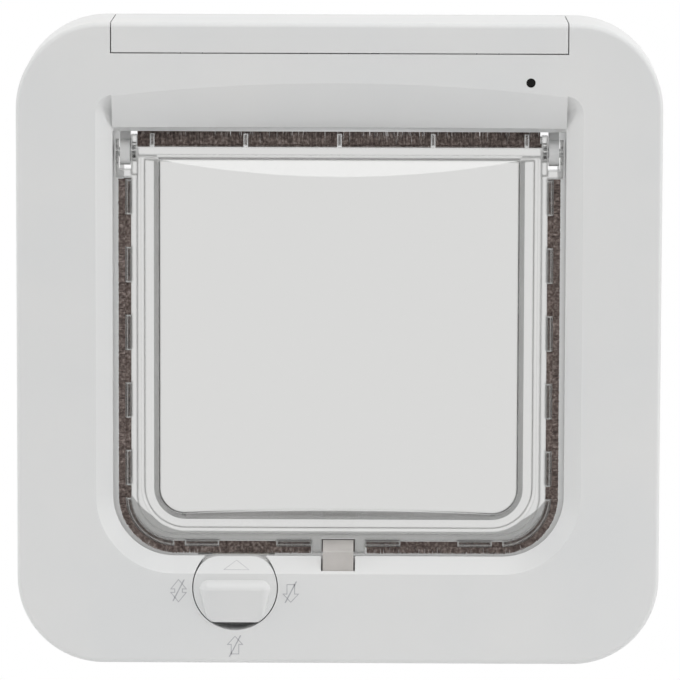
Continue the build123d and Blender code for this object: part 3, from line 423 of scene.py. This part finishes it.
def smoked_lens():
    # Acrylic lens dyed nearly black: a small deep gloss dot.
    material, tree, place = start_material("acrylic_lens_smoked")
    depth = add_node(tree, "ShaderNodeTexNoise", {"Scale": per_mm(1.2), "Detail": 1.0}, {"Vector": place})
    colour = add_node(
        tree,
        "ShaderNodeValToRGB",
        {"stops": [(0.3, "#0A0909"), (0.7, "#161313")]},
        {"Fac": depth.outputs["Fac"]},
    )
    return end_material(material, {"Roughness": 0.08, "IOR": 1.49}, {"Base Color": colour.outputs["Color"]})


def shrunk_film():
    # Shrink film over a steel can: one plain slate colour, glossy, with a pale ring at the cap and a pale
    # far end.
    material, tree, place = start_material("film_shrunk_over_can")
    axis = add_node(tree, "ShaderNodeSeparateXYZ", links={"Vector": place})
    across = add_node(tree, "ShaderNodeMath", {"operation": "ABSOLUTE"}, {"Value": axis.outputs["X"]})
    along = add_node(
        tree,
        "ShaderNodeMapRange",
        {"From Min": CELL_CAP, "From Max": CELL_END},
        {"Value": across.outputs["Value"]},
    )
    bands = add_node(
        tree,
        "ShaderNodeValToRGB",
        {"stops": [(0.0, "#C8CACC"), (0.045, "#D7D9DA"), (0.14, "#2F4658"), (0.97, "#C8CACC")]},
        {"Fac": along.outputs["Result"]},
    )
    bands.color_ramp.interpolation = "CONSTANT"
    return end_material(material, {"Roughness": 0.25, "IOR": 1.5}, {"Base Color": bands.outputs["Color"]})


def painted_line_shadow():
    # The side of a fine moulded line: the ABS painted grey, a painted shadow
    # where the line would cast its own small shadow.
    material, tree, place = start_material("abs_line_painted_shadow")
    uneven = add_node(tree, "ShaderNodeTexNoise", {"Scale": per_mm(1.5), "Detail": 2.0}, {"Vector": place})
    colour = add_node(
        tree,
        "ShaderNodeValToRGB",
        {"stops": [(0.3, "#AFAFB3"), (0.7, "#BDBDC1")]},
        {"Fac": uneven.outputs["Fac"]},
    )
    return end_material(material, {"Roughness": 0.6, "IOR": 1.53}, {"Base Color": colour.outputs["Color"]})


def finish_slots():
    """Gives every CAD node its finish by its slot in the record."""
    finishes = {
        "white_abs": moulded_abs(),
        "clear_plastic": moulded_polycarbonate(),
        "brown_pile": brushed_pile(),
        "grey_plastic": moulded_plastic("acetal_moulded_warm_grey", "#C2BEBA", "#C9C5C1", 0.4),
        "dark_lens": smoked_lens(),
        "zinc_steel": drawn_metal("steel_zinc_plated", "#9A9C9E", "#B9BBBC", 0.38, LINES_Y),
        "stainless": drawn_metal("stainless_ground_pin", "#B3B4B5", "#C9CACA", 0.28, LINES_X),
        "magnet": sintered_ferrite(),
        "copper_wire": wound_copper(),
        "board_green": resist_board(),
        "board_parts": moulded_plastic("epoxy_moulded_black", "#161617", "#202022", 0.5),
        "cell_wrap": shrunk_film(),
        "contact_metal": drawn_metal("spring_strip_nickel_plated", "#C2BFB6", "#D8D5CD", 0.22, LINES_Z),
        "motor_metal": drawn_metal("steel_drawn_can", "#8B8C8D", "#A5A6A7", 0.35, LINES_X),
        "nylon": moulded_plastic("nylon_moulded_natural", "#DDD9CC", "#E6E2D6", 0.45),
        "switch_black": moulded_plastic("nylon_moulded_black", "#131314", "#1C1C1E", 0.5),
    }
    for part in frame["record"]["subparts"]:
        frame["nodes"][part["node"]].material_slots[0].material = finishes[part["material_slot"]]
    return finishes


def deselect():
    """Leaves edit mode and selects nothing."""
    if bpy.context.object and bpy.context.object.mode != "OBJECT":
        bpy.ops.object.mode_set(mode="OBJECT")
    bpy.ops.object.select_all(action="DESELECT")


def settle():
    """Puts the selected piece's place, turn and size into its mesh."""
    bpy.ops.object.transform_apply(location=True, rotation=True, scale=True)


def repeat(piece, count, step):
    """Repeats the piece count times by a fixed step and keeps the result."""
    array = piece.modifiers.new("repeat", "ARRAY")
    array.count = count
    array.use_relative_offset = False
    array.use_constant_offset = True
    array.constant_offset_displace = step
    bpy.ops.object.modifier_apply(modifier=array.name)


def strip_path(points, rounded=None):
    """A flat curve through points, where rounded gives the two ends of an arc and the corner it rounds."""
    curve = bpy.data.curves.new("strip_path", "CURVE")
    curve.dimensions = "2D"
    curve.resolution_u = ARC_STEPS
    spline = curve.splines.new("BEZIER")
    spline.bezier_points.add(len(points) - 1)
    for knot, point in zip(spline.bezier_points, points):
        knot.co = (*point, 0)
        knot.handle_left_type = "VECTOR"
        knot.handle_right_type = "VECTOR"
    if rounded:
        first, last, corner = rounded
        for index, side in ((first, "right"), (last, "left")):
            knot = spline.bezier_points[index]
            towards = (Vector((*corner, 0)) - knot.co) * ARC_HANDLE
            setattr(knot, f"handle_{side}_type", "FREE")
            setattr(knot, f"handle_{side}", knot.co + towards)
    path = bpy.data.objects.new("strip_path", curve)
    bpy.context.scene.collection.objects.link(path)
    return path, spline.calc_length()


def strip_backing(length, deep, tall):
    """The woven backing: a long slab with enough cuts to bend."""
    deselect()
    bpy.ops.mesh.primitive_grid_add(
        x_subdivisions=BACKING_CUTS, y_subdivisions=1, size=1, location=(0, 0, 0)
    )
    slab = bpy.context.object
    slab.scale = (length, tall, 1)
    slab.location = (length / 2, tall / 2, -deep / 2)
    settle()
    bpy.ops.object.mode_set(mode="EDIT")
    bpy.ops.mesh.select_all(action="SELECT")
    bpy.ops.mesh.extrude_region_move(TRANSFORM_OT_translate={"value": (0, 0, deep)})
    bpy.ops.mesh.select_all(action="SELECT")
    bpy.ops.mesh.normals_make_consistent(inside=False)
    bpy.ops.object.mode_set(mode="OBJECT")
    return slab


def strip_fibres(length, root, tall, deep, seed):
    """Rows of fibres that stand on the backing, each a slim spike, then ruffled."""
    long = tall - root
    rows = int(deep / FIBRE_PITCH)
    deselect()
    bpy.ops.mesh.primitive_cone_add(
        vertices=FIBRE_SIDES,
        radius1=FIBRE_WIDE / 2,
        radius2=FIBRE_WIDE / 2 * FIBRE_TIP,
        depth=long,
        location=(FIBRE_PITCH / 2, root + long / 2, -(rows - 1) * FIBRE_PITCH / 2),
        rotation=(-QUARTER_TURN, 0, 0),
    )
    fibres = bpy.context.object
    settle()
    repeat(fibres, rows, (0.0, 0.0, FIBRE_PITCH))
    repeat(fibres, int(length / FIBRE_PITCH), (FIBRE_PITCH, 0.0, 0.0))
    bpy.ops.object.mode_set(mode="EDIT")
    bpy.ops.mesh.select_all(action="SELECT")
    bpy.ops.transform.vertex_random(offset=FIBRE_SPREAD, uniform=0.0, normal=0.0, seed=seed)
    bpy.ops.object.mode_set(mode="OBJECT")
    return fibres


def pile_strip(name, node, path, length, backing, tall, seed):
    """A pile weather strip bent along its path, in the place of its CAD node."""
    low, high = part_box(node)
    deep = high.y - low.y
    slab = strip_backing(length, min(deep, BACKING_DEEP), backing + BACKING_LAP)
    fibres = strip_fibres(length, backing, tall, deep, seed)
    slab.select_set(True)
    fibres.select_set(True)
    bpy.context.view_layer.objects.active = fibres
    bpy.ops.object.join()
    strip = bpy.context.object
    strip.name = name
    bend = strip.modifiers.new("follow", "CURVE")
    bend.object = path
    bpy.ops.object.modifier_apply(modifier=bend.name)
    strip.rotation_euler = (QUARTER_TURN, 0, 0)
    strip.location = (0, (low.y + high.y) / 2, 0)
    settle()
    bpy.data.objects.remove(path)
    strip.data.materials.clear()
    strip.data.materials.append(finishes["brown_pile"])
    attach(strip, "flap")
    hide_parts(node)


def side_strip(name, node, side, seed):
    """The strip down the right (side 1) or left (side -1) of the flap and along half of its bottom."""
    low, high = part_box(node)
    outer = max(abs(low.x), abs(high.x)) - STRIP_TALL
    inner = min(abs(low.x), abs(high.x))
    floor = low.z + STRIP_TALL
    bend = FLAP_CORNER - STRIP_TALL
    points = [(outer, high.z), (outer, floor + bend), (outer - bend, floor), (inner, floor)]
    points = [(side * x, z) for x, z in points]
    if side < 0:
        points.reverse()
    path, length = strip_path(points, (1, 2, (side * outer, floor)))
    pile_strip(name, node, path, length, BACKING_TALL, STRIP_TALL - FIBRE_SHORT, seed)


def top_strip(name, node, seed):
    """The strip along the hinge bar, with its fibres upright."""
    low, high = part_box(node)
    path, length = strip_path([(low.x, low.z), (high.x, low.z)])
    pile_strip(name, node, path, length, BACKING_TALL_TOP, high.z - low.z, seed)


def draw_outline(name, points, line=None):
    """A flat shape drawn in X and Y a little proud of Z = 0, or only its outline, line wide."""
    deselect()
    bpy.ops.mesh.primitive_plane_add(size=MM, location=(0, 0, 0))
    drawn = bpy.context.object
    drawn.name = name
    bpy.ops.object.mode_set(mode="EDIT")
    bpy.ops.mesh.select_all(action="SELECT")
    bpy.ops.mesh.merge(type="CENTER")
    bpy.ops.transform.translate(value=(*points[0], 0))
    for before, after in zip(points, points[1:]):
        step = (after[0] - before[0], after[1] - before[1], 0)
        bpy.ops.mesh.extrude_vertices_move(TRANSFORM_OT_translate={"value": step})
    bpy.ops.mesh.select_all(action="SELECT")
    bpy.ops.mesh.edge_face_add()
    if line:
        bpy.ops.mesh.inset(thickness=line, use_even_offset=True)
        bpy.ops.mesh.delete(type="FACE")
    bpy.ops.mesh.select_all(action="SELECT")
    bpy.ops.mesh.normals_make_consistent(inside=False)
    bpy.ops.mesh.extrude_region_move(TRANSFORM_OT_translate={"value": (0, 0, LINE_PROUD)})
    bpy.ops.mesh.select_all(action="SELECT")
    bpy.ops.mesh.normals_make_consistent(inside=False)
    bpy.ops.object.mode_set(mode="OBJECT")
    return drawn


def set_sign(sign, place, tilt, body):
    """Stands a drawn sign on the surface that carries it."""
    sign.rotation_euler = (tilt, 0, 0)
    sign.location = place
    deselect()
    sign.select_set(True)
    bpy.context.view_layer.objects.active = sign
    settle()
    # The sign's grey is painted shadow
    sign.data.materials.append(line_shadow_paint)
    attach(sign, body)


def arrow_points(ends, tall, head):
    """An arrow's outline, with a head at the top and, if ends is 2, one at the bottom too."""
    half, shaft, wide = tall / 2, SHAFT_WIDE / 2, ARROW_WIDE / 2
    neck = half - head
    right = [(0, half), (wide, neck), (shaft, neck)]
    right += [(shaft, -neck), (wide, -neck), (0, -half)] if ends == 2 else [(shaft, -half)]
    left = [(-x, z) for x, z in reversed(right) if x]
    return right + left


def slash_points():
    """The thin stroke through an arrow, from lower left to upper right."""
    lean, reach, half = SLASH_LEAN, SLASH_TALL / 2, SLASH_WIDE / 2
    return [(-lean - half, -reach), (-lean + half, -reach), (lean + half, reach), (lean - half, reach)]


def knob_axis():
    """The knob's middle across and up, the second from the round screw behind it."""
    knob_low, knob_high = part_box("lock_knob")
    screw_low, screw_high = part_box("cam_screw")
    return (knob_low.x + knob_high.x) / 2, (screw_low.z + screw_high.z) / 2


def face_signs(knob_x, knob_z):
    """The crossed arrows beside and under the knob."""
    for name, ends, up, tall, head, dx, dz, slash_dz in FACE_SIGNS:
        points = [(x, up * z) for x, z in arrow_points(ends, tall * MM, head * MM)]
        place = Vector((knob_x + dx * MM, FACE_Y, knob_z + dz * MM))
        set_sign(draw_outline(f"sign_{name}", points, LINE_WIDE), place, QUARTER_TURN, "frame")
        place.z += slash_dz * MM
        set_sign(draw_outline(f"slash_{name}", slash_points()), place, QUARTER_TURN, "frame")


def knob_pointer(knob_x):
    """The triangle on the knob's slope."""
    half = TRIANGLE_WIDE / 2
    points = [(-half, 0), (half, 0), (0, TRIANGLE_TALL)]
    pointer = draw_outline("knob_pointer", points, LINE_WIDE / 2)
    across, along = math.sin(SLOPE_ANGLE), math.cos(SLOPE_ANGLE)
    place = (knob_x + TRIANGLE_SIDE, FACE_Y + TRIANGLE_RISE * across, SLOPE_LOW + TRIANGLE_RISE * along)
    set_sign(pointer, place, QUARTER_TURN - SLOPE_ANGLE, "knob")


def set_camera():
    """The camera at the photograph's place, turned and rolled to its view."""
    back = Vector(
        (
            math.sin(AZIMUTH) * math.cos(ELEVATION),
            -math.cos(AZIMUTH) * math.cos(ELEVATION),
            math.sin(ELEVATION),
        )
    )
    level = Vector((math.cos(AZIMUTH), math.sin(AZIMUTH), 0))
    above = back.cross(level)
    right = math.cos(ROLL) * level + math.sin(ROLL) * above
    up = math.cos(ROLL) * above - math.sin(ROLL) * level
    data = bpy.data.cameras.new("camera")
    data.lens = LENS
    data.sensor_width = SENSOR
    data.clip_start = CLIP_NEAR
    data.clip_end = CLIP_FAR
    camera = bpy.data.objects.new("camera", data)
    turn = Matrix((right, up, back)).transposed().to_4x4()
    camera.matrix_world = Matrix.Translation(TARGET + DISTANCE * back) @ turn
    bpy.context.scene.collection.objects.link(camera)
    bpy.context.scene.camera = camera


def painted_floor():
    # Emulsion paint, rolled: a matt pale floor with a barely uneven tone.
    material, tree, place = start_material("painted_floor")
    mottle = add_node(tree, "ShaderNodeTexNoise", {"Scale": per_mm(400)}, {"Vector": place})
    colour = add_node(
        tree,
        "ShaderNodeValToRGB",
        {"stops": [(0.3, "#F0F0F0"), (0.7, "#F4F4F4")]},
        {"Fac": mottle.outputs["Fac"]},
    )
    return end_material(material, {"Roughness": 0.9}, {"Base Color": colour.outputs["Color"]})


def set_floor():
    """A pale floor well under the fitting."""
    deselect()
    low = cad_box[0].z - FLOOR_DROP
    bpy.ops.mesh.primitive_plane_add(size=FLOOR_SIZE, location=(0, 0, low))
    floor = bpy.context.object
    floor.name = "floor"
    floor.data.materials.append(painted_floor())


def set_surround():
    """A white surround, dimmer on the room side as light and in reflections."""
    world = bpy.data.worlds.new("surround")
    bpy.context.scene.world = world
    world.use_nodes = True
    tree = world.node_tree
    tree.nodes.clear()
    ray = add_node(tree, "ShaderNodeLightPath")
    looks = add_node(
        tree,
        "ShaderNodeMath",
        {"operation": "MAXIMUM"},
        {0: ray.outputs["Is Camera Ray"], 1: ray.outputs["Is Glossy Ray"]},
    )
    shows = add_node(
        tree,
        "ShaderNodeMath",
        {"operation": "MAXIMUM"},
        {0: looks.outputs["Value"], 1: ray.outputs["Is Transmission Ray"]},
    )
    around = add_node(tree, "ShaderNodeTexCoord")
    heading = add_node(tree, "ShaderNodeSeparateXYZ", links={"Vector": around.outputs["Generated"]})
    mirrored = add_node(
        tree,
        "ShaderNodeMapRange",
        {
            "From Min": MIRRORED_TURN[0],
            "From Max": MIRRORED_TURN[1],
            "To Min": ROOM_MIRRORED,
            "To Max": OUTDOOR_MIRRORED,
        },
        {"Value": heading.outputs["Y"]},
    )
    lit = add_node(
        tree,
        "ShaderNodeMapRange",
        {
            "From Min": LIGHT_TURN[0],
            "From Max": LIGHT_TURN[1],
            "To Min": ROOM_LIGHT,
            "To Max": OUTDOOR_LIGHT,
        },
        {"Value": heading.outputs["Y"]},
    )
    seen = add_node(
        tree,
        "ShaderNodeMapRange",
        {"To Min": 1.0},
        {"Value": ray.outputs["Glossy Depth"], "To Max": mirrored.outputs["Result"]},
    )
    level = add_node(
        tree,
        "ShaderNodeMapRange",
        links={
            "Value": shows.outputs["Value"],
            "To Min": lit.outputs["Result"],
            "To Max": seen.outputs["Result"],
        },
    )
    light = add_node(
        tree,
        "ShaderNodeBackground",
        {"Color": (1.0, 1.0, 1.0, 1.0)},
        {"Strength": level.outputs["Result"]},
    )
    add_node(tree, "ShaderNodeOutputWorld", links={"Surface": light.outputs["Background"]})


def set_softboxes():
    """Square soft lights above, in front and at both sides, which face the object."""
    for name, place, size, power in SOFTBOXES:
        data = bpy.data.lights.new(name, "AREA")
        data.size = size
        data.energy = power
        lamp = bpy.data.objects.new(name, data)
        lamp.location = place
        lamp.rotation_euler = (-Vector(place)).to_track_quat("-Z", "Y").to_euler()
        bpy.context.scene.collection.objects.link(lamp)


finishes = finish_slots()
line_shadow_paint = painted_line_shadow()
side_strip("pile_right", "side_pile_right", 1, SEED_RIGHT)
side_strip("pile_left", "side_pile_left", -1, SEED_LEFT)
top_strip("pile_top", "top_pile", SEED_TOP)
knob_x, knob_z = knob_axis()
face_signs(knob_x, knob_z)
knob_pointer(knob_x)
set_camera()
set_floor()
set_surround()
set_softboxes()
bpy.context.scene.view_settings.view_transform = "Standard"
